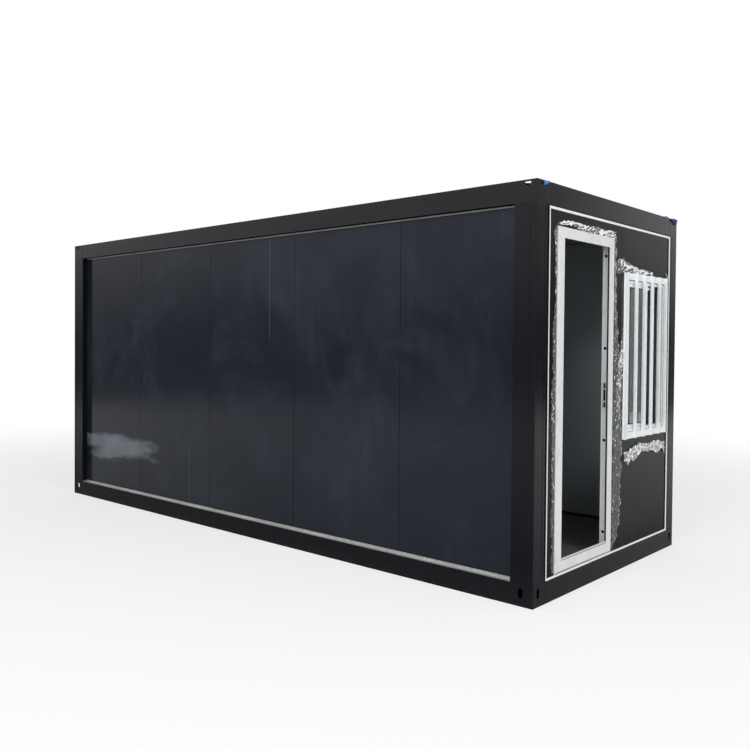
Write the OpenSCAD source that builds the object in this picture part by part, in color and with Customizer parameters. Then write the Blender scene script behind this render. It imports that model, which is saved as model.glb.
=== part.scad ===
// Detachable container house: a bolted steel frame with sandwich panel walls, one door end.
// Length runs along Y with the door end at -Y, width along X, and Z is up from the ground.

/* [Overall] */
// Length over the frame, from front to back
house_len = 5800; // [4000:10:9000]
// Width over the frame
house_w = 2400; // [2000:10:3000]
// Height over the frame
house_h = 2800; // [2400:10:3400]

/* [Frame] */
// Sheet thickness of the folded posts and beams
sheet_t = 3; // [2:0.5:6]
// Post width seen on the long sides
post_side_w = 170; // [120:5:240]
// Post width seen on the ends
post_end_w = 150; // [120:5:240]
// Depth of the post's tube, which is also how far the long walls stand back
post_tube_d = 60; // [40:2:90]
// Width of the shallow fold line in each post face
fold_w = 5; // [2:0.5:10]
// Depth of that fold line
fold_d = 1.5; // [0.5:0.5:2]
// How far the fold line stands from the post's corner
fold_in = 44; // [25:1:80]
// Height of the bottom beams and of the bottom corner fittings
base_h = 150; // [110:5:220]
// Height of the top beams and of the top corner fittings
head_h = 148; // [120:1:220]
// How far the beams' flanges reach in past the long walls
flange_in = 10; // [4:1:60]
// Width of the top beams' upper flange
gutter_w = 60; // [30:5:110]
// Depth of the lip that turns down from that flange
gutter_lip = 18; // [8:1:40]
// Width of the joint lines where posts and beams meet the corner fittings
joint_w = 4; // [1:0.5:10]
// Depth of those lines
joint_d = 1; // [0.5:0.5:1.5]

/* [Corner fittings] */
// Plate thickness of the corner fittings
plate_t = 6; // [4:1:12]
// Width of the upright lifting slots
slot_w = 36; // [20:1:60]
// Height of the upright lifting slots
slot_h = 70; // [40:1:110]
// Height of the slots' centres above the ground
slot_up = 88; // [60:1:120]
// Slot distance from the corner on the long sides
slot_side_in = 92; // [60:1:130]
// Slot distance from the corner on the ends
slot_end_in = 66; // [40:1:110]
// Small bolt hole in the ends of the fittings
bolt_d = 10; // [6:1:20]
// Height of the lower bolt holes
bolt_up = 29; // [15:1:60]
// Distance of the upper bolt holes below the top
bolt_down = 104; // [60:1:130]
// Upper bolt hole distance from the corner
bolt_in = 53; // [30:1:110]
// Length of the hooking holes near the top
hook_w = 47; // [24:1:80]
// Height of the hooking holes
hook_h = 28; // [14:1:50]
// Their centres below the top
hook_down = 23; // [18:1:60]
// Hooking hole distance from the corner on the long sides
hook_side_in = 70; // [40:1:110]
// Hooking hole distance from the corner on the ends
hook_end_in = 96; // [40:1:110]
// Length of the oblong hole in the top plate
crown_l = 120; // [60:1:140]
// Width of the oblong hole in the top plate
crown_w = 84; // [30:1:120]

/* [Walls] */
// Thickness of the wall panels
panel_t = 50; // [30:5:100]
// First panel joint on the long sides, from the front
seam_first = 1160; // [900:5:1400]
// Distance between panel joints
panel_pitch = 1135; // [900:5:1300]
// Open width of a panel joint
seam_w = 4; // [1:0.5:6]
// Length of the tongue at a panel joint
tongue_l = 12; // [6:1:25]
// Thickness of that tongue
tongue_t = 18; // [8:1:30]
// Panel joint on the ends, from the window's near edge
end_seam_in = 49; // [20:1:120]
// Sheet thickness of the wall tracks
track_t = 3; // [1:0.5:5]
// Height of the bottom track's lips against the panels
track_lip = 11; // [6:1:40]
// Depth of the lips of the track above the panels
top_track_lip = 8; // [4:1:40]
// How far the bottom track's apron keeps back from the beam's face
apron_in = 2; // [0:1:20]
// Ridge along that apron, height and half width
ridge_h = 5; // [2:0.5:10]
// Ridge distance from the beam's face
ridge_in = 27; // [15:1:50]

/* [White trim] */
// Face width of the trim at the sides of the end walls
trim_side_w = 18; // [10:1:50]
// Face width of the trim at the top
trim_top_w = 22; // [10:1:60]
// Face width of the trim at the bottom
trim_base_w = 14; // [8:1:40]
// How far the trim stands out past the frame
trim_out = 5; // [1:0.5:15]
// Open line between trim and frame
trim_gap = 3; // [1:0.5:8]

/* [Door frame] */
// Clear width of the doorway as a share of the end wall between the posts
door_w_share = 0.3376; // [0.3:0.005:0.36]
// Wall beside the door frame as a share of the end wall between the posts
door_side_share = 0.063; // [0.05:0.0025:0.09]
// Wall over the door frame
door_above = 128; // [40:2:300]
// Open line between the sill and the trim below it
sill_gap = 1; // [1:0.5:20]
// Raised face of the jambs
jamb_w = 68; // [40:1:120]
// Raised face of the head
head_w = 58; // [40:1:120]
// Raised face of the sill
sill_w = 80; // [50:1:90]
// How far the sill drops behind its raised face
sill_drop = 40; // [10:1:60]
// Thin lip round the raised face
lip_w = 16; // [6:1:30]
// How far the raised face stands past the frame
door_out = 8; // [2:0.5:20]
// Step of the rebate that a leaf closes into
rebate_w = 12; // [6:1:25]
// Groove lines in the sill's face
groove_w = 5; // [1:0.5:6]
// Distance of those lines from the edges of the sill's face
groove_in = 7; // [6:1:25]
// Black seal round the doorway, thickness
seal_t = 3; // [1:0.5:8]
// Bolt holes down the rebate
jamb_hole_d = 24; // [6:1:26]
// Depth of those holes
jamb_hole_l = 24; // [10:1:40]
// Number of those holes
jamb_hole_n = 4; // [2:1:6]
// Distance of the first and last hole from the ends of the jamb
jamb_hole_in = 62; // [30:1:200]
// Lock plate height
keep_h = 190; // [120:1:240]
// Lock plate width
keep_w = 26; // [18:1:34]
// Lock plate thickness
keep_t = 2; // [1:0.5:4]
// Middle of the lock plate as a share of the doorway's height
keep_share = 0.497; // [0.4:0.005:0.6]
// Width of the slots in the lock plate
keep_slot = 16; // [8:1:16]

/* [Window] */
// Window width as a share of the end wall between the posts
win_w_share = 0.4067; // [0.35:0.005:0.42]
// Wall between the window and the trim beside it
win_side = 26; // [5:1:60]
// Wall below the window as a share of the wall's height
win_low_share = 0.3386; // [0.2:0.005:0.5]
// Wall above the window as a share of the wall's height
win_above_share = 0.1467; // [0.1:0.005:0.25]
// Face width of the window frame
win_face = 52; // [35:1:80]
// Part of that face which laps over the wall
win_lap = 15; // [5:1:25]
// How far the window frame stands past the house frame
win_out = 2; // [0:0.5:10]
// Inner step of the window frame that the sashes slide in
step_w = 24; // [12:1:40]
// How far a sash passes the middle of the window
sash_lap = 46; // [10:1:60]
// Rail height of a sash
rail_w = 30; // [20:1:60]
// Stile width of a sash
stile_w = 48; // [30:1:70]
// Sash thickness
sash_t = 18; // [12:1:24]
// Open depth between the two sashes
sash_gap = 2; // [1:0.5:5]
// Outer sash behind the window frame's face
sash_in = 12; // [6:1:16]
// Glass thickness
glass_t = 5; // [3:1:8]
// Width of an upright security bar
bar_w = 24; // [10:1:40]
// How far the bars stand past the window frame
bar_out = 20; // [8:1:40]
// Height of the flat strips that join the bars
strip_h = 30; // [15:1:45]
// Thickness of those strips
strip_t = 3; // [2:0.5:6]

/* [Floor and roof] */
// Number of floor joists
joist_n = 11; // [5:1:20]
// Width of a floor joist
joist_w = 50; // [30:5:80]
// Floor board thickness
board_t = 18; // [10:1:30]
// Floor covering thickness
cover_t = 3; // [2:0.5:5]
// Skirting height
skirt_h = 22; // [10:1:80]
// Skirting thickness
skirt_t = 8; // [4:1:15]
// Ceiling panel thickness
ceiling_t = 50; // [30:5:60]
// Number of roof purlins
purlin_n = 6; // [3:1:12]
// Height of a purlin
purlin_h = 40; // [20:1:55]
// Width of a purlin
purlin_w = 40; // [20:1:80]
// Depth of the roof sheet's ribs
rib_h = 24; // [10:1:35]
// Distance between the roof sheet's ribs
rib_pitch = 200; // [120:5:300]
// Roof sheet thickness
roof_t = 2; // [1:0.5:3]
// Open gap between the roof sheet's ribs and the flashing over its ends
flash_gap = 1; // [0.5:0.5:3]

/* [Hidden] */
// Overrun of every cut
over = 20;
// Half sizes of the frame
hx = house_w / 2;
hy = house_len / 2;
// Shares of one rib taken by its lower flat, its slopes and its upper flat
rib_share = 0.3;
slope_share = 0.15;
// Lock slots: distance of the short ones from the middle, and both lengths, of the plate's height
bolt_slot_share = 0.38;
latch_l_share = 0.44;
bolt_l_share = 0.21;
// Places of the upright security bars across the window's width
bar_shares = [0.028, 0.24, 0.4215, 0.603, 0.781, 0.94];
// Share of the first rib that the flashing at the roof's ends laps over
flash_share = 0.75;
// Levels
post_low = base_h;
post_high = house_h - head_h;
post_h = post_high - post_low;
floor_z = base_h;
board_z = base_h - cover_t - board_t;
ceiling_z = post_high + sheet_t;
purlin_z = ceiling_z + ceiling_t;
roof_z = purlin_z + purlin_h;
// Faces of the walls, as distances in from the frame's faces
side_face = post_tube_d;
side_back = post_tube_d + panel_t;
end_face = sheet_t;
end_back = sheet_t + panel_t;
// Width of the beams' flanges
flange_w = side_back + flange_in;
// Clear lines inside the walls
in_x = hx - side_back;
in_y = hy - end_back;
// End wall half width, up to the tubes of the posts
end_hx = hx - post_tube_d;
// Long walls run between the end walls
run_y = hy - end_back;
// Centre of the whole along Y, with the bars in front and the trim at the back
front_out = win_out + bar_out;
mid_y = (front_out - trim_out) / 2;
// End walls between the posts
wall_hx = hx - post_end_w;
wall_w = 2 * wall_hx;
trim_hx = wall_hx - trim_gap;
// Door frame
door_w = door_w_share * wall_w;
body_x0 = -wall_hx + door_side_share * wall_w + lip_w;
door_x0 = body_x0 + jamb_w;
door_x1 = door_x0 + door_w;
body_x1 = door_x1 + jamb_w;
door_sill = base_h + trim_gap + trim_base_w + sill_gap + lip_w + sill_w;
body_top = post_high - door_above - lip_w;
door_head = body_top - head_w;
keep_z = door_sill + keep_share * (door_head - door_sill);
jamb_hole_pitch = (door_head - door_sill - 2 * jamb_hole_in) / (jamb_hole_n - 1);
// Window
win_x1 = trim_hx - trim_side_w - win_side;
win_x0 = win_x1 - win_w_share * wall_w;
win_low = post_low + win_low_share * post_h;
win_high = post_high - win_above_share * post_h;
end_seam_x = win_x0 - end_seam_in;
hole_x0 = win_x0 + win_lap;
hole_x1 = win_x1 - win_lap;
hole_z0 = win_low + win_lap;
hole_z1 = win_high - win_lap;
pane_x0 = win_x0 + win_face;
pane_x1 = win_x1 - win_face;
pane_z0 = win_low + win_face;
pane_z1 = win_high - win_face;
sash_x0 = pane_x0 + step_w;
sash_z0 = pane_z0 + step_w;
sash_z1 = pane_z1 - step_w;
sash_w = (pane_x1 - pane_x0) / 2 - step_w + sash_lap;
outer_sash_y = sash_in - win_out;
inner_sash_y = outer_sash_y + sash_t + sash_gap;

steel = "#2d2d30";
panel = "#2d323a";
pale = "#b9bcb9";
white = "#e6e6e3";
rubber = "#151515";
clear = "#9fb4ba";
wood = "#8d7a5e";
grey = "#6c7073";

// A box between two corners
module block(lo, hi) {
    translate(lo)
        cube(hi - lo);
}

// The house is centred over its front bars and its back trim
module placed() {
    translate([0, mid_y, 0])
        children();
}

// Draws a front left corner piece at the corner named by two signs
module corner(sx, sy) {
    translate([sx * hx, sy * hy, 0])
        mirror([sx > 0 ? 1 : 0, 0, 0])
            mirror([0, sy > 0 ? 1 : 0, 0])
                children();
}

// Oblong outline centred on the origin, longest along X or along Y, or a plain circle
module oblong(w, h) {
    d = min(w, h);
    x = (w - d) / 2;
    y = (h - d) / 2;
    for (s = x + y > 0 ? [-1, 1] : [1])
        translate([s * x, s * y])
            circle(d = d, $fn = 48);
    if (x > 0)
        square([2 * x, d], center = true);
    if (y > 0)
        square([d, 2 * y], center = true);
}

// Cuts its outline through a plate that faces the long side
module side_cut(in, z, w, h) {
    translate([-over, in, z])
        rotate([90, 0, 90])
            linear_extrude(over + plate_t + over)
                oblong(w, h);
}

// Cuts its outline through a plate that faces the end
module end_cut(in, z, w, h) {
    translate([in, plate_t + over, z])
        rotate([90, 0, 0])
            linear_extrude(over + plate_t + over)
                oblong(w, h);
}

// Hollow casting at the foot of a post, with slots in both outer faces
module bottom_fitting() {
    difference() {
        block([0, 0, 0], [post_end_w, post_side_w, base_h]);
        block([plate_t, plate_t, plate_t],
              [post_end_w - plate_t, post_side_w - plate_t, base_h - plate_t]);
        side_cut(slot_side_in, slot_up, slot_w, slot_h);
        end_cut(slot_end_in, slot_up, slot_w, slot_h);
        end_cut(slot_end_in, bolt_up, bolt_d, bolt_d);
    }
}

// Hollow casting at the head of a post, open through its top plate
module top_fitting() {
    difference() {
        block([0, 0, post_high], [post_end_w, post_side_w, house_h]);
        block([plate_t, plate_t, post_high + plate_t],
              [post_end_w - plate_t, post_side_w - plate_t, house_h - plate_t]);
        side_cut(hook_side_in, house_h - hook_down, hook_w, hook_h);
        end_cut(hook_end_in, house_h - hook_down, hook_w, hook_h);
        end_cut(bolt_in, house_h - bolt_down, bolt_d, bolt_d);
        translate([post_end_w / 2, post_side_w / 2, house_h - plate_t - over])
            linear_extrude(plate_t + over + over)
                oblong(crown_w, crown_l);
    }
}

module bottom_corner_fittings() {
    color(steel) placed()
        for (sx = [-1, 1], sy = [-1, 1])
            corner(sx, sy) bottom_fitting();
}

module top_fittings(sx) {
    color(steel) placed()
        for (sy = [-1, 1])
            corner(sx, sy) top_fitting();
}

module top_fittings_left() {
    top_fittings(-1);
}

module top_fittings_right() {
    top_fittings(1);
}

// Folded post: a tube on the long side with a single flange over the end wall
module post_section() {
    difference() {
        union() {
            square([post_tube_d, post_side_w]);
            square([post_end_w, sheet_t]);
        }
        translate([sheet_t, sheet_t])
            square([post_tube_d - 2 * sheet_t, post_side_w - 2 * sheet_t]);
        translate([-over, fold_in])
            square([over + fold_d, fold_w]);
        translate([fold_in + post_tube_d, -over])
            square([fold_w, over + fold_d]);
    }
}

// Outer skin of a post that the joint lines take away
module post_skin() {
    translate([-over, -over]) {
        square([over + joint_d, over + post_side_w + over]);
        square([over + post_end_w + over, over + joint_d]);
    }
}

module post(sx, sy) {
    color(steel) placed()
        corner(sx, sy)
            translate([0, 0, post_low])
                difference() {
                    linear_extrude(post_h)
                        post_section();
                    for (z = [-over, post_h - joint_w])
                        translate([0, 0, z])
                            linear_extrude(over + joint_w)
                                post_skin();
                }
}

module post_front_left() {
    post(-1, -1);
}

module post_front_right() {
    post(1, -1);
}

module post_back_left() {
    post(-1, 1);
}

module post_back_right() {
    post(1, 1);
}

// Folded bottom beam with its web at the outer face, drawn as inward and upward
module bottom_section() {
    square([sheet_t, base_h]);
    square([flange_w, sheet_t]);
    translate([0, base_h - sheet_t])
        square([flange_w, sheet_t]);
}

// Folded top beam: a wide flange below and a lipped gutter flange above
module top_section() {
    square([sheet_t, head_h]);
    square([flange_w, sheet_t]);
    translate([0, head_h - sheet_t])
        square([gutter_w, sheet_t]);
    translate([gutter_w - sheet_t, head_h - gutter_lip])
        square([sheet_t, gutter_lip]);
}

// A length of beam with a joint line across its outer face at both ends
module beam_run(run) {
    tall = max(base_h, head_h);
    difference() {
        linear_extrude(run)
            children();
        for (z = [-over, run - joint_w])
            translate([-over, -over, z])
                cube([over + joint_d, over + tall + over, over + joint_w]);
    }
}

// Runs a section along both long sides between the corner fittings
module along_sides(z) {
    run = house_len - 2 * post_side_w;
    color(steel) placed()
        for (sx = [-1, 1])
            corner(sx, -1)
                translate([0, post_side_w + run, z])
                    rotate([90, 0, 0])
                        beam_run(run)
                            children();
}

// Runs a section along both ends between the corner fittings
module along_ends(z) {
    run = house_w - 2 * post_end_w;
    color(steel) placed()
        for (sy = [-1, 1])
            corner(-1, sy)
                translate([post_end_w, 0, z])
                    rotate([90, 0, 90])
                        beam_run(run)
                            children();
}

module bottom_beams_long() {
    along_sides(0) bottom_section();
}

module bottom_beams_end() {
    along_ends(0) bottom_section();
}

module top_beams_long() {
    along_sides(post_high) top_section();
}

module top_beams_end() {
    along_ends(post_high) top_section();
}

// Where the joints of the long walls fall, from the front, with both ends of the wall
function joint(i) = i == 0 ? end_back : i == 5 ? house_len - end_back
    : seam_first + (i - 1) * panel_pitch;

// Plan of one wall panel: a tongue at its far edge and a groove at its near edge
module panel_plan(from, to, groove, tongue) {
    near = groove ? from + seam_w / 2 : from;
    far = tongue ? to - seam_w / 2 : to;
    difference() {
        union() {
            translate([0, near])
                square([panel_t, far - near]);
            if (tongue)
                translate([(panel_t - tongue_t) / 2, far])
                    square([tongue_t, tongue_l]);
        }
        if (groove)
            translate([(panel_t - tongue_t) / 2, near - over])
                square([tongue_t, over + tongue_l - seam_w]);
    }
}

// One panel of a long wall, counted from the front
module side_panel(sx, i) {
    color(panel) placed()
        corner(sx, -1)
            translate([side_face, 0, post_low + track_t])
                linear_extrude(post_h - 2 * track_t)
                    panel_plan(joint(i - 1), joint(i), i > 1, i < 5);
}

module left_wall_panel_1() {
    side_panel(-1, 1);
}

module left_wall_panel_2() {
    side_panel(-1, 2);
}

module left_wall_panel_3() {
    side_panel(-1, 3);
}

module left_wall_panel_4() {
    side_panel(-1, 4);
}

module left_wall_panel_5() {
    side_panel(-1, 5);
}

module right_wall_panel_1() {
    side_panel(1, 1);
}

module right_wall_panel_2() {
    side_panel(1, 2);
}

module right_wall_panel_3() {
    side_panel(1, 3);
}

module right_wall_panel_4() {
    side_panel(1, 4);
}

module right_wall_panel_5() {
    side_panel(1, 5);
}

// A stretch of end wall between two places across the width and two levels
module end_wall(sy, x0, x1, z0, z1) {
    y0 = sy < 0 ? -hy + end_face : hy - end_back;
    block([x0, y0, z0], [x1, y0 + panel_t, z1]);
}

module front_wall_beside_door() {
    color(panel) placed()
        end_wall(-1, -end_hx, body_x0, post_low, post_high);
}

module front_wall_over_door() {
    color(panel) placed()
        end_wall(-1, body_x0, body_x1, body_top, post_high);
}

module front_wall_middle() {
    color(panel) placed()
        end_wall(-1, body_x1, end_seam_x - seam_w / 2, post_low, post_high);
}

module front_wall_window_panel() {
    color(panel) placed()
        difference() {
            end_wall(-1, end_seam_x + seam_w / 2, end_hx, post_low, post_high);
            block([hole_x0, -hy - over, hole_z0], [hole_x1, -in_y + over, hole_z1]);
        }
}

module back_wall_panel_left() {
    color(panel) placed()
        end_wall(1, -end_hx, end_seam_x - seam_w / 2, post_low, post_high);
}

module back_wall_panel_right() {
    color(panel) placed()
        end_wall(1, end_seam_x + seam_w / 2, end_hx, post_low, post_high);
}

// Bottom track: an apron with a ridge over the beam, then a channel under the panels
module track_apron() {
    translate([apron_in, 0])
        square([side_face - apron_in, track_t]);
    translate([ridge_in, track_t])
        polygon([[-ridge_h, 0], [ridge_h, 0], [0, ridge_h]]);
}

module track_channel(lip) {
    translate([side_face - track_t, 0])
        square([panel_t + 2 * track_t, track_t]);
    translate([side_face - track_t, 0])
        square([track_t, track_t + lip]);
    translate([side_back, 0])
        square([track_t, track_t + lip]);
}

// Runs a section along a long wall between the posts
module along_wall(z) {
    translate([0, house_len - post_side_w, z])
        rotate([90, 0, 0])
            linear_extrude(house_len - 2 * post_side_w)
                children();
}

module wall_tracks(sx) {
    color(pale) placed()
        corner(sx, -1) {
            along_wall(post_low) {
                track_apron();
                track_channel(track_lip);
            }
            along_wall(post_high)
                mirror([0, 1])
                    track_channel(top_track_lip);
        }
}

module left_wall_tracks() {
    wall_tracks(-1);
}

module right_wall_tracks() {
    wall_tracks(1);
}

// White trim round an end wall
module wall_trim(sy) {
    x = trim_hx;
    z0 = post_low + trim_gap;
    z1 = post_high - trim_gap;
    color(white) placed()
        translate([0, sy * hy, 0])
            mirror([0, sy > 0 ? 1 : 0, 0])
                difference() {
                    block([-x, -trim_out, z0], [x, end_face, z1]);
                    block([-x + trim_side_w, -trim_out - over, z0 + trim_base_w],
                          [x - trim_side_w, end_face + over, z1 - trim_top_w]);
                }
}

module front_wall_trim() {
    wall_trim(-1);
}

module back_wall_trim() {
    wall_trim(1);
}

// A rectangular ring in the end wall, as outer and inner outlines over a depth
module ring(x, z, y, inner_x, inner_z) {
    difference() {
        block([x[0], y[0], z[0]], [x[1], y[1], z[1]]);
        block([inner_x[0], y[0] - over, inner_z[0]], [inner_x[1], y[1] + over, inner_z[1]]);
    }
}

// Rebated door frame: lip, raised face, then a body through the wall with a wider opening
module door_frame() {
    open_x = [door_x0, door_x1];
    open_z = [door_sill, door_head];
    lip_z = [door_sill - sill_w - lip_w, body_top + lip_w];
    color(white) placed()
        translate([0, -hy, 0])
            difference() {
                union() {
                    ring([body_x0 - lip_w, body_x1 + lip_w], lip_z, [-seal_t, end_face],
                         open_x, open_z);
                    ring([body_x0, body_x1], [door_sill - sill_w, body_top],
                         [-door_out, end_face], open_x, open_z);
                    ring([body_x0, body_x1], [post_low, body_top], [end_face, end_back],
                         [door_x0 - rebate_w, door_x1 + rebate_w],
                         [door_sill - sill_drop, door_head + rebate_w]);
                }
                for (z = [door_sill - groove_in, door_sill - sill_w + groove_in])
                    block([body_x0 - over, -door_out - over, z - groove_w],
                          [body_x1 + over, -door_out + groove_w, z]);
                for (i = [0 : jamb_hole_n - 1])
                    translate([door_x1, (end_face + end_back) / 2,
                               door_sill + jamb_hole_in + i * jamb_hole_pitch])
                        rotate([0, 90, 0])
                            cylinder(d = jamb_hole_d, h = rebate_w + jamb_hole_l, $fn = 48);
                translate([door_x1, (end_face + end_back) / 2, keep_z])
                    keep_slots(rebate_w + jamb_hole_l);
            }
}

// Black seal that lines the doorway behind its face
module door_seal() {
    color(rubber) placed()
        translate([0, -hy, 0])
            difference() {
                block([door_x0, -seal_t, door_sill], [door_x1, end_face, door_head]);
                block([door_x0 + seal_t, -seal_t - over, door_sill - over],
                      [door_x1 - seal_t, end_face + over, door_head - seal_t]);
            }
}

// A long slot for the latch between two short ones for the bolts of a lock
module keep_slots(deep) {
    for (k = [-1, 0, 1])
        translate([0, 0, k * bolt_slot_share * keep_h])
            rotate([90, 0, 90])
                linear_extrude(deep)
                    oblong(keep_slot, keep_h * (k == 0 ? latch_l_share : bolt_l_share));
}

// Slotted plate that takes the lock of a leaf
module lock_keep() {
    y = (end_face + end_back) / 2;
    color(pale) placed()
        translate([door_x1 + rebate_w - keep_t, -hy + y, keep_z])
            difference() {
                block([0, -keep_w / 2, -keep_h / 2], [keep_t, keep_w / 2, keep_h / 2]);
                translate([-over, 0, 0])
                    keep_slots(over + over);
            }
}

// Window frame with a lap over the wall and a body through it that steps in round the sashes
module window_frame() {
    pane_x = [pane_x0, pane_x1];
    pane_z = [pane_z0, pane_z1];
    color(white) placed()
        translate([0, -hy, 0]) {
            ring([win_x0, win_x1], [win_low, win_high], [-win_out, end_face], pane_x, pane_z);
            ring([hole_x0, hole_x1], [hole_z0, hole_z1], [end_face, end_back],
                 [sash_x0, pane_x1 - step_w], [sash_z0, sash_z1]);
        }
}

// Both sliding sashes stand at the left, one behind the other, so the right half is open
module window_sashes() {
    x1 = sash_x0 + sash_w;
    color(white) placed()
        translate([0, -hy, 0])
            for (y = [outer_sash_y, inner_sash_y])
                ring([sash_x0, x1], [sash_z0, sash_z1], [y, y + sash_t],
                     [sash_x0 + stile_w, x1 - stile_w],
                     [sash_z0 + rail_w, sash_z1 - rail_w]);
}

module window_glass() {
    color(clear) placed()
        for (y = [outer_sash_y, inner_sash_y])
            translate([0, -hy + y + (sash_t - glass_t) / 2, 0])
                block([sash_x0 + stile_w, 0, sash_z0 + rail_w],
                      [sash_x0 + sash_w - stile_w, glass_t, sash_z1 - rail_w]);
}

// Upright tubes joined by two flat strips on the window frame
module security_grille() {
    wide = win_x1 - win_x0;
    last = len(bar_shares) - 1;
    color(white) placed()
        translate([win_x0, -hy - win_out, 0]) {
            for (at_share = bar_shares)
                translate([at_share * wide - bar_w / 2, 0, 0])
                    block([0, -bar_out, win_low], [bar_w, 0, win_high]);
            for (z = [win_low, win_high - strip_h])
                block([bar_shares[0] * wide, -strip_t, z],
                      [bar_shares[last] * wide, 0, z + strip_h]);
        }
}

// Channel joists between the webs of the long beams
module floor_joists() {
    low = sheet_t;
    high = board_z;
    step = (house_len - 2 * post_side_w) / (joist_n + 1);
    color(steel) placed()
        for (i = [1 : joist_n])
            translate([0, -hy + post_side_w + i * step, 0])
                difference() {
                    block([-hx + sheet_t, -joist_w / 2, low], [hx - sheet_t, joist_w / 2, high]);
                    block([-hx - over, -joist_w / 2 + sheet_t, low + sheet_t],
                          [hx + over, joist_w / 2 + over, high - sheet_t]);
                }
}

// A slab that reaches in under the beams on all sides, cut clear of the corner fittings
module decked(side_in, end_in, z0, z1) {
    difference() {
        block([side_in - hx, end_in - hy, z0], [hx - side_in, hy - end_in, z1]);
        for (sx = [-1, 1], sy = [-1, 1])
            corner(sx, sy)
                block([-over, -over, z0 - over], [post_end_w, post_side_w, z1 + over]);
    }
}

module floor_board() {
    color(wood) placed()
        decked(side_face, end_back, board_z, board_z + board_t);
}

module floor_covering() {
    color(grey) placed()
        decked(flange_w, flange_w, floor_z - cover_t, floor_z);
}

// Dark skirting round the room, open at the doorway
module skirting() {
    x = in_x - track_t;
    color(rubber) placed()
        difference() {
            block([-x, -in_y, floor_z], [x, in_y, floor_z + skirt_h]);
            block([-x + skirt_t, -in_y + skirt_t, floor_z - over],
                  [x - skirt_t, in_y - skirt_t, floor_z + skirt_h + over]);
            block([body_x0, -hy, floor_z - over], [body_x1, 0, floor_z + skirt_h + over]);
        }
}

// One ceiling run between the corner fittings and a short one at each end, with open joints
module ceiling_panel() {
    low = ceiling_z;
    high = ceiling_z + ceiling_t;
    x = hx - side_face;
    y = hy - post_side_w;
    color(white) placed() {
        block([-x, -y, low], [x, y, high]);
        for (sy = [-1, 1])
            corner(-1, sy)
                block([post_end_w, end_back, low],
                      [house_w - post_end_w, post_side_w - seam_w, high]);
    }
}

module roof_purlins() {
    x = hx - side_face;
    run = house_len - 2 * post_side_w - 2 * purlin_w;
    color(steel) placed()
        for (i = [0 : purlin_n - 1])
            translate([0, -run / 2 + i * run / (purlin_n - 1), 0])
                difference() {
                    block([-x, -purlin_w / 2, purlin_z], [x, purlin_w / 2, roof_z]);
                    block([-x - over, -purlin_w / 2 + sheet_t, purlin_z + sheet_t],
                          [x + over, purlin_w / 2 - sheet_t, roof_z - sheet_t]);
                }
}

// Line of the ribbed roof sheet along Y, rib by rib
function rib_line(n, step, up) = concat(
    [for (i = [0 : n - 1])
        for (p = [[0, 0], [rib_share, 0], [rib_share + slope_share, 1],
                  [1 - slope_share, 1]])
            [(i + p[0]) * step, p[1] * rib_h + up]],
    [[n * step, up]]);

function back_line(line) = [for (i = [len(line) - 1 : -1 : 0]) line[i]];

// Ribbed sheet between the corner fittings, with a flat flashing from its end ribs to the beams
module roof_sheet() {
    run = house_len - 2 * post_side_w;
    n = floor(run / rib_pitch);
    step = run / n;
    x = hx - sheet_t;
    flash_z = roof_z + rib_h + roof_t + flash_gap;
    color(pale) placed() {
        translate([-x, -run / 2, roof_z])
            rotate([90, 0, 90])
                linear_extrude(2 * x)
                    polygon(concat(rib_line(n, step, 0),
                                   back_line(rib_line(n, step, roof_t))));
        for (sy = [-1, 1])
            corner(-1, sy)
                block([post_end_w, sheet_t, flash_z],
                      [house_w - post_end_w, post_side_w + flash_share * step,
                       flash_z + roof_t]);
    }
}

bottom_corner_fittings();
top_fittings_left();
top_fittings_right();
post_front_left();
post_front_right();
post_back_left();
post_back_right();
bottom_beams_long();
bottom_beams_end();
top_beams_long();
top_beams_end();
left_wall_panel_1();
left_wall_panel_2();
left_wall_panel_3();
left_wall_panel_4();
left_wall_panel_5();
right_wall_panel_1();
right_wall_panel_2();
right_wall_panel_3();
right_wall_panel_4();
right_wall_panel_5();
front_wall_beside_door();
front_wall_over_door();
front_wall_middle();
front_wall_window_panel();
back_wall_panel_left();
back_wall_panel_right();
left_wall_tracks();
right_wall_tracks();
front_wall_trim();
back_wall_trim();
door_frame();
door_seal();
lock_keep();
window_frame();
window_sashes();
window_glass();
security_grille();
floor_joists();
floor_board();
floor_covering();
skirting();
ceiling_panel();
roof_purlins();
roof_sheet();
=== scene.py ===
# %% [markdown]
# # A detachable container house
#
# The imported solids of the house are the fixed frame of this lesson. Blender adds what a
# solid cannot carry: the enamel, the coated wall sheets, the zinc, the glass, and the torn
# protective film that still clings round the door and the window. The house stands with
# its door end towards -Y and its long dark wall towards -X, and every number is in metres.

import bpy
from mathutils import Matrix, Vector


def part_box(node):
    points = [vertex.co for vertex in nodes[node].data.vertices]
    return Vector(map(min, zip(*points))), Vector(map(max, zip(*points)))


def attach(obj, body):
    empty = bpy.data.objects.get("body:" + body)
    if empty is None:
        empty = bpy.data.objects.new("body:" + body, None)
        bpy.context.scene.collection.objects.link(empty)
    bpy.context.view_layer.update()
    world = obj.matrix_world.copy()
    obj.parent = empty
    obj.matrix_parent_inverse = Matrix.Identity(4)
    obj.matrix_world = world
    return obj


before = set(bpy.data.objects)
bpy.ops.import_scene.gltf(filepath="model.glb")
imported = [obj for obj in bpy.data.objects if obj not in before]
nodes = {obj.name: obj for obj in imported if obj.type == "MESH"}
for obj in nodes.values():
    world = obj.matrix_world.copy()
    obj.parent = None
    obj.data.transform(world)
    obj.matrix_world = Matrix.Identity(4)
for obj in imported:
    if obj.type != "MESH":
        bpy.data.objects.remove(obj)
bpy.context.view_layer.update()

# %% Tools of the lesson
import math

import bmesh
import bpy
from mathutils import Vector, noise

scene = bpy.context.scene
MM = 0.001
noise.seed_set(7)                             # noise vectors then come out the same each run

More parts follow.
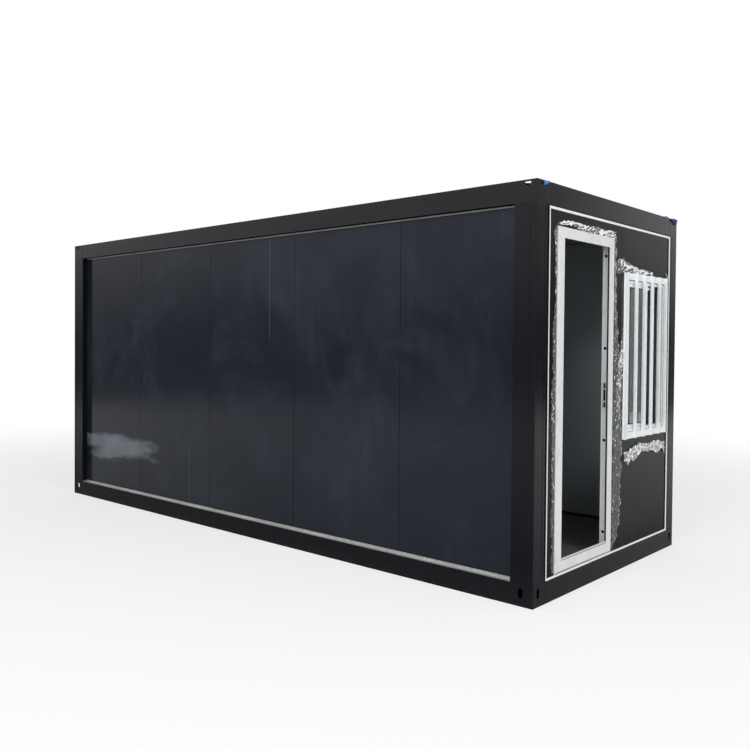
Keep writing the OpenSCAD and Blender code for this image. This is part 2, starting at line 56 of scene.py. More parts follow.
# %% [markdown]
# ## The camera
#
# A picture's perspective fixes where it was taken from. Here the edges of the house gave
# the place, the turn and the lens, and the small shift stands for the crop of the picture.

# %% Camera
camera_data = bpy.data.cameras.new("viewpoint")
camera_data.sensor_width = 36.0
camera_data.lens = 38.9549
camera_data.shift_x = 0.0617018
camera_data.shift_y = -0.022916
camera = bpy.data.objects.new("viewpoint", camera_data)
camera.location = (-5.93996, -5.51302, 1.72881)
camera.rotation_euler = [math.radians(a) for a in (88.92926, -0.41361, -46.74676)]
scene.collection.objects.link(camera)
scene.camera = camera
print("camera at", tuple(camera.location))

# %% [markdown]
# ## Small helpers for finishes
#
# Paint charts give colours as hex codes, which are sRGB, while a shader works in linear
# light, so one function turns a code into linear values. A pattern's scale in a texture
# node counts repeats in a metre, so another turns a real size in millimetres into that.
# The third adds a node to a tree by its kind: values are set and outputs are linked by
# socket. What is left out stays at the node's own value, such as 0 to 1 for a map's range.
# It gives back the output that is asked for, or else the first one in use.

# %% Helpers for finishes
def hex_colour(code):
    shares = [int(code[i:i + 2], 16) / 255 for i in (1, 3, 5)]
    return tuple(s / 12.92 if s <= 0.04045 else ((s + 0.055) / 1.055) ** 2.4
                 for s in shares) + (1.0,)


def per_metre(size_mm):
    return 1000.0 / size_mm


def add(tree, kind, sockets=None, out=None, **settings):
    node = tree.nodes.new("ShaderNode" + kind)
    for name, value in settings.items():
        setattr(node, name, value)
    for key, value in (sockets or {}).items():
        if isinstance(value, bpy.types.NodeSocket):
            tree.links.new(value, node.inputs[key])
        else:
            node.inputs[key].default_value = value
    live = [output for output in node.outputs if output.enabled]
    return node.outputs[out] if out else live[0] if live else None


def new_finish(name):
    finish = bpy.data.materials.new(name)
    finish.use_nodes = True
    finish.node_tree.nodes.clear()
    return finish, finish.node_tree


def give(finish, *names):
    for name in names:
        slots = nodes[name].data.materials
        slots.clear()
        slots.append(finish)
    print(finish.name, "on", len(names), "solids")


# %% [markdown]
# ## Satin enamel on the folded steel frame
#
# Posts, beams and corner fittings are folded sheet, sprayed with an anthracite enamel. A
# sprayed coat is never quite even: it shows a fine orange peel, slow changes of tone, dust
# near the ground, and thin places along the folds, where handling rubs it. The lighter
# colour along the folds is rubbed paint and also a painted highlight. The Bevel node finds
# those edges, because its rounded normal leaves the flat one only near a fold.

# %% Folds that handling has rubbed, with a painted highlight
# FOLD_R is also the reach of the painted highlight along a fold
FOLD_R = 8 * MM                               # reach of the wear on either side of a fold


def rubbed_and_highlit_folds(tree, flat):
    rounded = add(tree, "Bevel", {"Radius": FOLD_R}, samples=4)
    agree = add(tree, "VectorMath", {0: rounded, 1: flat}, operation="DOT_PRODUCT")
    edge = add(tree, "MapRange", {"Value": agree, "From Min": 0.995, "From Max": 0.86})
    return rounded, edge


print("folds are rubbed within", FOLD_R / MM, "mm")

# %% Satin enamel
DUST_TOP = 0.3                                # ground dust ends at this height


def satin_enamel(name, coat, worn, dusty, full_shine):
    finish, tree = new_finish(name)
    where = add(tree, "TexCoord", out="Object")
    height = add(tree, "SeparateXYZ", {"Vector": where}, out="Z")
    # Slow changes of tone across about 600 mm of spray
    tone = add(tree, "TexNoise",
               {"Vector": where, "Scale": per_metre(600), "Detail": 4.0, "Roughness": 0.6})
    # Rubbed marks of about 45 mm
    rubbed = add(tree, "TexNoise",
                 {"Vector": where, "Scale": per_metre(45), "Detail": 6.0, "Roughness": 0.7})
    # Ground dust thins out with height
    low = add(tree, "MapRange", {"Value": height, "From Min": DUST_TOP, "From Max": 0.0})
    dust = add(tree, "Math", {0: low, 1: rubbed}, operation="MULTIPLY", use_clamp=True)
    # Orange peel is 2 to 4 mm across; it is drawn at 9 mm so that it shows
    peel = add(tree, "TexNoise", {"Vector": where, "Scale": per_metre(9), "Detail": 2.0})
    flat = add(tree, "NewGeometry", out="Normal")
    facing = add(tree, "SeparateXYZ", {"Vector": flat}, out="Z")
    # The spray hardly reaches undersides, which keep their matt primer
    under = add(tree, "MapRange", {"Value": facing, "From Min": -0.5, "From Max": -0.9})
    rounded, edge = rubbed_and_highlit_folds(tree, flat)
    # lighter along the folds: rubbed paint and a painted highlight
    wear_and_highlight = add(tree, "Math", {0: edge, 1: rubbed}, operation="MULTIPLY", use_clamp=True)
    sprayed = add(tree, "Mix", {0: tone, 6: hex_colour(coat[0]), 7: hex_colour(coat[1])},
                  data_type="RGBA")
    dusted = add(tree, "Mix", {0: dust, 6: sprayed, 7: hex_colour(dusty)}, data_type="RGBA")
    colour = add(tree, "Mix", {0: wear_and_highlight, 6: dusted, 7: hex_colour(worn)}, data_type="RGBA")
    gloss = add(tree, "MapRange",
                {"Value": rubbed, "From Min": 0.3, "From Max": 0.75,
                 "To Min": 0.14, "To Max": 0.24})
    rough = add(tree, "Mix", {0: under, 2: gloss, 3: 0.95}, data_type="FLOAT")
    # Splashes dull the coat near the ground
    clean = add(tree, "MapRange",
                {"Value": height, "From Min": 0.1, "From Max": 1.9,
                 "To Min": 0.03, "To Max": full_shine})
    shine = add(tree, "Mix", {0: under, 2: clean, 3: 0.0}, data_type="FLOAT")
    bump = add(tree, "Bump",
               {"Height": peel, "Strength": 0.25, "Distance": 0.3 * MM, "Normal": rounded})
    shader = add(tree, "BsdfPrincipled",
                 {"Base Color": colour, "Roughness": rough, "IOR": 1.5,
                  "Specular IOR Level": shine, "Normal": bump})
    add(tree, "OutputMaterial", {"Surface": shader})
    return finish


POSTS = ("post_front_left", "post_front_right", "post_back_left", "post_back_right")
BEAMS = ("bottom_corner_fittings", "top_fittings_left", "top_fittings_right",
         "bottom_beams_long", "bottom_beams_end", "top_beams_long", "top_beams_end")
# worn is the lighter colour along the folds: rubbed paint with a painted highlight
ANTHRACITE = {"coat": ("#0d0e13", "#131419"), "worn": "#2a2b30", "dusty": "#27272a"}
PRIMER = {"coat": ("#2a2b2d", "#343536"), "worn": "#55565a", "dusty": "#4c4a45"}
give(satin_enamel("satin_enamel_on_steel_beams", full_shine=0.33, **ANTHRACITE), *BEAMS)
give(satin_enamel("satin_enamel_on_steel_posts", full_shine=0.26, **ANTHRACITE), *POSTS)
give(satin_enamel("primer_on_channel_steel", full_shine=0.3, **PRIMER),
     "floor_joists", "roof_purlins")

# %% [markdown]
# ## Coil coated sheet on the wall panels
#
# Each panel is a foam core between two steel sheets that were coated on a coil: dark and
# glossy outside, pale grey inside. The coat is smooth, so what shows is reflection. The
# sheet is a little wavy between its glue lines, which bends that reflection, and it
# carries wiped dust and a few specks. Low down near the far end of the left wall a pale
# blotch is painted on as a reflection, and two upright scratches show on that wall. One
# material serves both skins: it asks how far a point lies from the house's middle.

# %% Dust and specks on a sheet
def wiped_dust(tree, where):
    # Dust clouds of about 800 mm, broken by upright wiping strokes of 90 mm
    cloud = add(tree, "TexNoise",
                {"Vector": where, "Scale": per_metre(800), "Detail": 5.0,
                 "Roughness": 0.62, "Distortion": 0.5})
    upright = add(tree, "Mapping", {"Vector": where, "Scale": (1.0, 1.0, 0.1)})
    stroke = add(tree, "TexNoise",
                 {"Vector": upright, "Scale": per_metre(90), "Detail": 4.0, "Roughness": 0.6})
    settled = add(tree, "MapRange", {"Value": cloud, "From Min": 0.46, "From Max": 0.78})
    wiped = add(tree, "MapRange",
                {"Value": stroke, "From Min": 0.35, "From Max": 0.7,
                 "To Min": 0.45, "To Max": 1.0})
    dust = add(tree, "Math", {0: settled, 1: wiped}, operation="MULTIPLY", use_clamp=True)
    return cloud, stroke, settled, dust


def dried_specks(tree, where):
    # Dried drops and chips: one speck of a few millimetres in some 130 mm cells
    cells = add(tree, "TexVoronoi", {"Vector": where, "Scale": per_metre(130)}).node.outputs
    near = add(tree, "MapRange",
               {"Value": cells["Distance"], "From Min": 0.055, "From Max": 0.03})
    picked = add(tree, "SeparateXYZ", {"Vector": cells["Color"]})
    some = add(tree, "Math", {0: picked, 1: 0.72}, operation="GREATER_THAN")
    return add(tree, "Math", {0: near, 1: some}, operation="MULTIPLY")


# %% Painted reflection and scratches on the left wall
# where a pale reflection is painted on the left wall
PAINTED_REFLECTION_MIDDLE = (-1.14, 2.1, 0.6)
PAINTED_REFLECTION_HALF = (0.3, 0.95, 0.18)
# Each scratch: its place along the wall, the height of its middle, half of its length
SCRATCHES = ((-0.286, 2.2, 0.44), (0.845, 0.42, 0.28))
SCRATCH_HALF_W = 2 * MM
LEFT_WALL_X = -1.0                            # only the left wall lies beyond this


def painted_reflection_patch(tree, where, cloud, amount):
    # A pale blotch of painted reflection: an oval whose rim is torn by level streaks
    oval = add(tree, "Mapping",
               {"Vector": where, "Location": PAINTED_REFLECTION_MIDDLE, "Scale": PAINTED_REFLECTION_HALF},
               vector_type="TEXTURE")
    torn = add(tree, "TexNoise",
               {"Vector": oval, "Scale": 1.6, "Detail": 6.0, "Roughness": 0.6})
    off = add(tree, "VectorMath", {0: oval}, operation="LENGTH")
    ragged = add(tree, "Math", {0: torn, 1: -1.6, 2: off}, operation="MULTIPLY_ADD")
    inside = add(tree, "MapRange",
                 {"Value": ragged, "From Min": 0.12, "From Max": -0.35, "To Max": amount},
                 interpolation_type="SMOOTHSTEP")
    return add(tree, "Math", {0: inside, 1: cloud}, operation="MULTIPLY")


def with_scratches(tree, axes, stroke, marks):
    left = add(tree, "Math", {0: axes["X"], 1: LEFT_WALL_X}, operation="LESS_THAN")
    faint = add(tree, "Math", {0: stroke, 1: left}, operation="MULTIPLY")
    for along, middle, half in SCRATCHES:
        beside = add(tree, "Math", {0: axes["Y"], 1: along, 2: SCRATCH_HALF_W},
                     operation="COMPARE")
        level = add(tree, "Math", {0: axes["Z"], 1: middle, 2: half}, operation="COMPARE")
        line = add(tree, "Math", {0: beside, 1: level}, operation="MULTIPLY")
        worn = add(tree, "Math", {0: line, 1: faint}, operation="MULTIPLY")
        marks = add(tree, "Math", {0: marks, 1: worn}, operation="MAXIMUM")
    return marks


# size of the painted reflection on the left wall, and the scratches
print("thick dust over", [2 * half for half in PAINTED_REFLECTION_HALF[1:]], "m,", len(SCRATCHES), "scratches")

# %% Coil coated sheet
def coil_coated_sheet(name, across, skin_at, coat, shine, painted_reflection_amount):
    finish, tree = new_finish(name)
    where = add(tree, "TexCoord", out="Object")
    axes = add(tree, "SeparateXYZ", {"Vector": where}).node.outputs
    reach = add(tree, "Math", {0: axes[across]}, operation="ABSOLUTE")
    outside = add(tree, "Math", {0: reach, 1: skin_at}, operation="GREATER_THAN")
    cloud, stroke, settled, dust = wiped_dust(tree, where)
    # thick is the pale blotch of painted reflection low on the left wall
    thick = painted_reflection_patch(tree, where, cloud, painted_reflection_amount)
    marks = with_scratches(tree, axes, stroke, dried_specks(tree, where))
    dusted = add(tree, "Mix", {0: dust, 6: hex_colour(coat[0]), 7: hex_colour(coat[1])},
                 data_type="RGBA")
    # the painted reflection turns the sheet pale grey there
    greyed = add(tree, "Mix", {0: thick, 6: dusted, 7: hex_colour("#858b95")}, data_type="RGBA")
    flecked = add(tree, "Mix", {0: marks, 6: greyed, 7: hex_colour("#6d7178")},
                  data_type="RGBA")
    inner = add(tree, "Mix", {0: settled, 6: hex_colour("#9da4a9"), 7: hex_colour("#90979c")},
                data_type="RGBA")
    colour = add(tree, "Mix", {0: outside, 6: inner, 7: flecked}, data_type="RGBA")
    dull = add(tree, "MapRange", {"Value": dust, "To Min": 0.15, "To Max": 0.36})
    gloss = add(tree, "Mix", {0: outside, 2: 0.42, 3: dull}, data_type="FLOAT")
    # Splashes dull the coat near the ground
    clean = add(tree, "MapRange",
                {"Value": axes["Z"], "From Min": 0.2, "From Max": 1.6,
                 "To Min": shine[0], "To Max": shine[1]})
    # The sheet's own waves are about 420 mm long
    wave = add(tree, "TexNoise", {"Vector": where, "Scale": per_metre(420), "Detail": 1.5})
    bump = add(tree, "Bump", {"Height": wave, "Distance": 1.4 * MM})
    shader = add(tree, "BsdfPrincipled",
                 {"Base Color": colour, "Roughness": gloss, "IOR": 1.5,
                  "Specular IOR Level": clean, "Normal": bump})
    add(tree, "OutputMaterial", {"Surface": shader})
    return finish


LONG_WALLS = [f"{side}_wall_panel_{i}" for side in ("left", "right") for i in range(1, 6)]
END_WALLS = ("front_wall_beside_door", "front_wall_over_door", "front_wall_middle",
             "front_wall_window_panel", "back_wall_panel_left", "back_wall_panel_right")
# A point farther out than skin_at belongs to the dark outer skin
# only the long walls get the painted reflection
give(coil_coated_sheet("coil_coated_sheet_long_walls", "X", skin_at=1.115,
                       coat=("#161b25", "#2a3039"), shine=(0.14, 0.25), painted_reflection_amount=0.9),
     *LONG_WALLS)
give(coil_coated_sheet("coil_coated_sheet_end_walls", "Y", skin_at=2.864,
                       coat=("#15171b", "#26272a"), shine=(0.015, 0.13), painted_reflection_amount=0.0),
     *END_WALLS)

# %% [markdown]
# ## Zinc on the tracks and the roof
#
# Hot dip zinc freezes in flat crystals, the spangle, each with its own shade and gloss. A
# Voronoi pattern gives such cells, and its random colour per cell sets both. The roof
# sheet is the same steel, out in the weather, so dust and rain streaks dull it more.

# %% Zinc
def zinc_coat(name, bright, dull, weathered):
    finish, tree = new_finish(name)
    where = add(tree, "TexCoord", out="Object")
    # Spangle crystals are 5 to 15 mm across
    spangle = add(tree, "TexVoronoi", {"Vector": where, "Scale": per_metre(14)}, out="Color")
    shade = add(tree, "SeparateXYZ", {"Vector": spangle})
    stain = add(tree, "TexNoise",
                {"Vector": where, "Scale": per_metre(260), "Detail": 6.0, "Roughness": 0.65})
    dirt = add(tree, "MapRange",
               {"Value": stain, "From Min": 0.4, "From Max": 0.7, "To Max": weathered})
    crystal = add(tree, "Mix", {0: shade, 6: hex_colour(dull), 7: hex_colour(bright)},
                  data_type="RGBA")
    colour = add(tree, "Mix", {0: dirt, 6: crystal, 7: hex_colour("#8a877f")}, data_type="RGBA")
    gloss = add(tree, "MapRange", {"Value": shade, "To Min": 0.34, "To Max": 0.5})
    shader = add(tree, "BsdfPrincipled",
                 {"Base Color": colour, "Roughness": gloss, "Metallic": 0.85})
    add(tree, "OutputMaterial", {"Surface": shader})
    return finish


give(zinc_coat("hot_dip_zinc_on_steel", "#d4d5d2", "#c1c2be", weathered=0.35),
     "left_wall_tracks", "right_wall_tracks")
give(zinc_coat("weathered_zinc_roofing", "#bcbdba", "#a5a6a3", weathered=0.7), "roof_sheet")

# %% [markdown]
# ## White powder coat and white PVC
#
# The trim, the door frame and the bars are powder coated: an even, slightly dimpled white
# with hand marks and a little grime, a shade cooler on the bars. The window is extruded
# PVC, which is smoother. All start from one function: only colours and gloss differ.

# %% White coats
def white_coat(name, clean, grimy, gloss_range, dimple_mm):
    finish, tree = new_finish(name)
    where = add(tree, "TexCoord", out="Object")
    marks = add(tree, "TexNoise",
                {"Vector": where, "Scale": per_metre(170), "Detail": 7.0, "Roughness": 0.68})
    grime = add(tree, "MapRange",
                {"Value": marks, "From Min": 0.5, "From Max": 0.78, "To Max": 0.8})
    colour = add(tree, "Mix", {0: grime, 6: hex_colour(clean), 7: hex_colour(grimy)},
                 data_type="RGBA")
    gloss = add(tree, "MapRange",
                {"Value": marks, "From Min": 0.35, "From Max": 0.7,
                 "To Min": gloss_range[0], "To Max": gloss_range[1]})
    # Dimples of 1 to 2 mm, drawn coarser so that they show
    dimple = add(tree, "TexNoise",
                 {"Vector": where, "Scale": per_metre(dimple_mm), "Detail": 2.0})
    bump = add(tree, "Bump", {"Height": dimple, "Strength": 0.2, "Distance": 0.2 * MM})
    shader = add(tree, "BsdfPrincipled",
                 {"Base Color": colour, "Roughness": gloss, "IOR": 1.5, "Normal": bump})
    add(tree, "OutputMaterial", {"Surface": shader})
    return finish


POWDER = {"gloss_range": (0.3, 0.5), "dimple_mm": 6}
PVC = {"gloss_range": (0.22, 0.4), "dimple_mm": 10}
powder_white = white_coat("white_powder_coat", "#dedfdf", "#c3c3c0", **POWDER)
bar_white = white_coat("cool_white_powder_coat", "#ecf0f2", "#d6d9d9", **POWDER)
pvc_white = white_coat("extruded_white_pvc", "#ebeff1", "#d0d4d5", **PVC)
trim_white = white_coat("bright_white_powder_coat", "#eeefee", "#d8d8d5", **POWDER)
give(powder_white, "door_frame")
give(trim_white, "front_wall_trim", "back_wall_trim")
give(bar_white, "security_grille")
give(pvc_white, "window_frame", "window_sashes")

# %% [markdown]
# ## Seal, lock plate and glass
#
# Rubber is dull and nearly black with a faint bloom. The lock plate is brushed steel, whose
# fine lines run along it. Float glass is clear with a green cast; finger marks are rougher
# patches that only show in its reflections, so they drive roughness and nothing else.

# %% Rubber, brushed steel and float glass
rubber, tree = new_finish("black_rubber")
where = add(tree, "TexCoord", out="Object")
bloom = add(tree, "TexNoise", {"Vector": where, "Scale": per_metre(30), "Detail": 5.0})
colour = add(tree, "Mix", {0: bloom, 6: hex_colour("#08080a"), 7: hex_colour("#1b1b1d")},
             data_type="RGBA")
shader = add(tree, "BsdfPrincipled",
             {"Base Color": colour, "Roughness": 0.6, "IOR": 1.52, "Specular IOR Level": 0.2})
add(tree, "OutputMaterial", {"Surface": shader})
give(rubber, "door_seal")

brushed, tree = new_finish("brushed_stainless_steel")
where = add(tree, "TexCoord", out="Object")
# Brushing lines are finer than 0.2 mm; they are drawn 2 mm apart so that they show
along = add(tree, "Mapping", {"Vector": where, "Scale": (1.0, 1.0, 0.03)})
lines = add(tree, "TexNoise", {"Vector": along, "Scale": per_metre(2), "Detail": 3.0})
colour = add(tree, "Mix", {0: lines, 6: hex_colour("#bfc1c0"), 7: hex_colour("#d6d7d5")},
             data_type="RGBA")
gloss = add(tree, "MapRange", {"Value": lines, "To Min": 0.3, "To Max": 0.5})
shader = add(tree, "BsdfPrincipled",
             {"Base Color": colour, "Roughness": gloss, "Metallic": 0.4})
add(tree, "OutputMaterial", {"Surface": shader})
give(brushed, "lock_keep")

glass, tree = new_finish("float_glass")
where = add(tree, "TexCoord", out="Object")
marks = add(tree, "TexNoise",
            {"Vector": where, "Scale": per_metre(90), "Detail": 6.0, "Roughness": 0.7})
smear = add(tree, "MapRange",
            {"Value": marks, "From Min": 0.55, "From Max": 0.75,
             "To Min": 0.01, "To Max": 0.12})
shader = add(tree, "BsdfPrincipled",
             {"Base Color": hex_colour("#cbd0cf"), "Roughness": smear, "IOR": 1.52,
              "Specular IOR Level": 0.35, "Transmission Weight": 1.0})
add(tree, "OutputMaterial", {"Surface": shader})
give(glass, "window_glass")

# %% [markdown]
# ## Floor, skirting, board and ceiling
#
# Inside there is a grey PVC sheet with a fine fleck on a cement board, a dark skirting and
# a pale ceiling sheet. They are seen through the doorway and from below, so each gets the
# mottle that its own making leaves, at its own size: fleck, pressed fibres or a soft cloud.

# %% Inside finishes
def flecked_coat(name, ground, fleck, fleck_mm, amount, rough):
    finish, tree = new_finish(name)
    where = add(tree, "TexCoord", out="Object")
    fine = add(tree, "TexNoise",
               {"Vector": where, "Scale": per_metre(fleck_mm), "Detail": 4.0,
                "Roughness": 0.75})
    worn = add(tree, "TexNoise", {"Vector": where, "Scale": per_metre(500), "Detail": 4.0})
    strong = add(tree, "MapRange",
                 {"Value": fine, "From Min": 0.45, "From Max": 0.7, "To Max": amount})
    colour = add(tree, "Mix", {0: strong, 6: hex_colour(ground), 7: hex_colour(fleck)},
                 data_type="RGBA")
    gloss = add(tree, "MapRange",
                {"Value": worn, "From Min": 0.3, "From Max": 0.7,
                 "To Min": rough - 0.08, "To Max": rough + 0.08})
    bump = add(tree, "Bump", {"Height": fine, "Strength": 0.15, "Distance": 0.3 * MM})
    shader = add(tree, "BsdfPrincipled",
                 {"Base Color": colour, "Roughness": gloss, "IOR": 1.5, "Normal": bump})
    add(tree, "OutputMaterial", {"Surface": shader})
    return finish


give(flecked_coat("calendered_pvc_flooring", "#5d5e62", "#75767a",
                  fleck_mm=8, amount=0.8, rough=0.42), "floor_covering")
give(flecked_coat("pressed_cement_board", "#8f8a7e", "#6f6a60",
                  fleck_mm=22, amount=0.9, rough=0.85), "floor_board")
give(flecked_coat("dark_moulded_skirting", "#1d1e20", "#2b2c2e",
                  fleck_mm=12, amount=0.7, rough=0.45), "skirting")
give(flecked_coat("coil_coated_ceiling_sheet", "#7d8182", "#727677",
                  fleck_mm=40, amount=0.6, rough=0.4), "ceiling_panel")

# %% [markdown]
# ## Eased edges
#
# A solid's edges are as sharp as its numbers, but a folded sheet, an extruded bar and a
# moulded frame all have a small radius that catches light. The solids arrive as loose
# triangles, so a Weld modifier joins them first, and a Bevel modifier then rounds only
# the edges that turn by more than 40 degrees. The mesh itself stays as it was packed.

# %% Ease the edges
JOIN_WITHIN = 0.02 * MM
SHARP_TURN = math.radians(40)


def ease(radius_mm, *names):
    for name in names:
        weld = nodes[name].modifiers.new("joined", "WELD")
        weld.merge_threshold = JOIN_WITHIN
        bevel = nodes[name].modifiers.new("eased", "BEVEL")
        bevel.width = radius_mm * MM
        bevel.segments = 2
        bevel.profile = 0.5
        bevel.limit_method = "ANGLE"
        bevel.angle_limit = SHARP_TURN
    print("eased by", radius_mm, "mm:", len(names), "solids")


ease(2.0, "security_grille", "window_frame", "window_sashes")
ease(1.5, "door_frame", "front_wall_trim", "back_wall_trim")
ease(1.0, "left_wall_tracks", "right_wall_tracks")

# %% [markdown]
# ## Helpers for new pieces
#
# A new piece is built in a bmesh, and its place is in its vertices, as with the solids.
# One helper adds a bar to it, which is a cube brought to size between two ends on each axis.
# The next turns the bmesh into an object with its finish, and the last lets such an object
# ride on the one body of the house.

# %% Add a bar, keep a piece
def bar(bm, x, y, z):
    ends = [sorted(span) for span in (x, y, z)]
    for v in bmesh.ops.create_cube(bm, size=1.0)["verts"]:
        v.co = Vector(a + (share + 0.5) * (b - a) for share, (a, b) in zip(v.co, ends))


def as_object(bm, name, finish):
    mesh = bpy.data.meshes.new(name)
    bm.to_mesh(mesh)
    bm.free()
    mesh.materials.append(finish)
    made = bpy.data.objects.new(name, mesh)
    scene.collection.objects.link(made)
    return made


def keep_piece(bm, name, finish):
    piece = as_object(bm, name, finish)
    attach(piece, "root")
    print(name, len(piece.data.polygons), "faces")
    return piece


# %% [markdown]
# ## Glazing gaskets
#
# Each pane is held in its sash by a thin black gasket, on both faces. A gasket is a flat
# rim of four bars: two that run the whole width, and two uprights between them.

# %% Glazing gaskets
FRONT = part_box("top_beams_end")[0].y          # plane of the front frame
WALL_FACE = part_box("front_wall_middle")[0].y  # outer face of the front wall
SASH_OUTER, SASH_INNER = FRONT + 10 * MM, FRONT + 30 * MM
SASH_T, GLASS_T = 18 * MM, 5 * MM
GASKET_W, GASKET_T = 5 * MM, 4 * MM
pane_low, pane_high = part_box("window_glass")


def gasket(name, low, high, wide, y_from, y_to):
    bm = bmesh.new()
    for z in (low.z, high.z - wide):
        bar(bm, (low.x, high.x), (y_from, y_to), (z, z + wide))
    for x in (low.x, high.x - wide):
        bar(bm, (x, x + wide), (y_from, y_to), (low.z + wide, high.z - wide))
    keep_piece(bm, name, rubber)


for label, sash in (("outer", SASH_OUTER), ("inner", SASH_INNER)):
    for side, outward in (("front", -1), ("back", 1)):
        face = sash + SASH_T / 2 + outward * GLASS_T / 2
        gasket(f"gasket_{label}_{side}", pane_low, pane_high, GASKET_W,
               face, face + outward * GASKET_T)

# %% [markdown]
# ## Cords and beads of painted shadow round the trim
#
# The white trim stands 3 mm clear of the frame all round, and a black cord fills that line
# on both ends, as painted shadow in that gap. The same rim does for it, only larger. Black
# beads lap a little over the trim, along the top and up one side of each upright, with a
# fuller bead where the window stands close: they paint the shadow lines round the trim.

# %% Cords and beads of painted shadow round the trim
CORD_W, CORD_T = 2.8 * MM, 2.4 * MM
BEAD_W, BEAD_PROUD, BEAD_R = 8.5 * MM, 0.6 * MM, 0.5 * MM
TRIM_W, LAP = 18 * MM, 3 * MM
window_low, window_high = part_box("window_frame")
round_trim = Vector((CORD_W, 0.0, CORD_W))
for label, wall, outer, outward in (("front", "front_wall_middle", 0, -1),
                                    ("back", "back_wall_panel_left", 1, 1)):
    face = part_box(wall)[outer].y
    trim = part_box(f"{label}_wall_trim")
    trim_low, trim_high = trim
    # the cord paints the shadow in the 3 mm gap round the trim
    gasket(f"trim_shadow_cord_{label}", trim_low - round_trim, trim_high + round_trim, CORD_W,
           face, face + outward * CORD_T)
    proud = trim[outer].y + outward * BEAD_PROUD
    top, inner = trim_high.z + CORD_W, trim_high.x - TRIM_W
    # black beads over the trim's edges paint the shadow lines round it
    bm = bmesh.new()
    bar(bm, (trim_low.x, trim_high.x), (face, proud), (top - BEAD_W, top))
    bar(bm, (trim_low.x - CORD_W, trim_low.x + LAP), (face, proud), (trim_low.z, top))
    bar(bm, (inner - LAP, inner), (face, (face + proud) / 2),
        (trim_low.z + TRIM_W, top - 2 * BEAD_W - TRIM_W))
    if label == "front":
        bar(bm, (inner - 2 * LAP, inner - LAP), (face, proud), (window_low.z, window_high.z))
    bmesh.ops.bevel(bm, geom=list(bm.edges), offset=BEAD_R, affect="EDGES", segments=2,
                    profile=0.5, material=-1)
    keep_piece(bm, f"trim_shadow_bead_{label}", rubber)

# %% [markdown]
# ### Strips and brushes
#
# A strip of rubber closes the upright joint of each end wall, behind its face. Dark strips
# along the head and the foot of the window, between the face of the frame and the sashes,
# paint the shade in that gap. Two dark brushes stand upright on the right reveal, where the
# sashes close.

# %% Strips in the wall joints
STRIP_CLEAR, STRIP_BACK, STRIP_END = 0.1 * MM, 8 * MM, 1 * MM
for label, one, other in (("front", "front_wall_middle", "front_wall_window_panel"),
                          ("back", "back_wall_panel_left", "back_wall_panel_right")):
    (one_low, one_high), other_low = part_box(one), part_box(other)[0]
    bm = bmesh.new()
    bar(bm, (one_high.x + STRIP_CLEAR, other_low.x - STRIP_CLEAR),
        (one_low.y + STRIP_BACK, one_high.y - STRIP_BACK),
        (one_low.z + STRIP_END, one_high.z - STRIP_END))
    keep_piece(bm, f"wall_joint_strip_{label}", rubber)

# %% Brushes of the window, and its painted shade lines
STEP_W = 24 * MM                              # the frame's inner step, round the sashes
WINDOW_FACE_W = 52 * MM
BRUSH_T, BRUSH_CLEAR = 2 * MM, 1 * MM
HEAD_SHADE_LINE, FOOT_SHADE_LINE, UPRIGHT_BRUSH = 6 * MM, 2 * MM, 4 * MM
UPRIGHTS_IN = (36 * MM, 14 * MM)              # from the back of the frame
sash_low, sash_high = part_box("window_sashes")
face_end = window_high.x - WINDOW_FACE_W
reveal = face_end - STEP_W
head, foot = sash_high.z + STEP_W, sash_low.z - STEP_W
bm = bmesh.new()
# the head and foot strips paint the shade in the gap between the frame's face and the sashes
for z in ((head - HEAD_SHADE_LINE, head), (foot, foot + FOOT_SHADE_LINE)):
    bar(bm, (sash_low.x, face_end - BRUSH_CLEAR),
        (FRONT + BRUSH_CLEAR, FRONT + BRUSH_CLEAR + BRUSH_T), z)
for back in UPRIGHTS_IN:
    y = window_high.y - back
    bar(bm, (reveal - BRUSH_T, reveal), (y, y + UPRIGHT_BRUSH), (sash_low.z, sash_high.z))
keep_piece(bm, "window_brushes_and_shade_lines", rubber)

# %% [markdown]
# ### The black strip of the doorway
#
# A black strip lines the front corner of the rebate, up both jambs and along the head. It is
# three bars. One more cord lies in the sill's upper groove between the jambs, and a dark bar
# on the lip at the foot of the sill paints the shade line there. The rest of the two
# grooves is filled level with the face and painted over.

# %% Black strip of the doorway
seal_low, seal_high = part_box("door_seal")
REBATE_W = 12 * MM                            # how far the rebate stands back in the jamb
BAR_X, BAR_Y = 5 * MM, 9 * MM
left, right = seal_low.x - REBATE_W, seal_high.x + REBATE_W
head = seal_high.z + REBATE_W
bm = bmesh.new()
for x, z in (((left, left + BAR_X), (seal_low.z, head)),
             ((right - BAR_X, right), (seal_low.z, head)),
             ((left + BAR_X, right - BAR_X), (head - BAR_X, head))):
    bar(bm, x, (WALL_FACE, WALL_FACE + BAR_Y), z)
keep_piece(bm, "doorway_black_strip", rubber)

# %% Cord, painted shade line and fillers of the sill
LIP_W, GROOVE_W, GROOVE_IN, SILL_W = 16 * MM, 5 * MM, 7 * MM, 80 * MM
CORD_BACK, FILLER_BACK = 1 * MM, 0.2 * MM     # how far they lie behind the sill's face
LIP_SHADE_LINE_Y = (-1.5 * MM, 0.5 * MM)            # from the face of the lip
LIP_SHADE_LINE_Z = (-12 * MM, -8 * MM)              # from the foot of the sill's face
sill_low, sill_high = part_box("door_frame")
SILL_FOOT = seal_low.z - SILL_W
LIP_FACE = sill_low.y + GROOVE_W              # the grooves are cut down to the lip's face
upper = (seal_low.z - GROOVE_IN - GROOVE_W, seal_low.z - GROOVE_IN)
lower = (SILL_FOOT + GROOVE_IN - GROOVE_W, SILL_FOOT + GROOVE_IN)
bm = bmesh.new()
bar(bm, (seal_low.x, seal_high.x), (sill_low.y + CORD_BACK, LIP_FACE), upper)
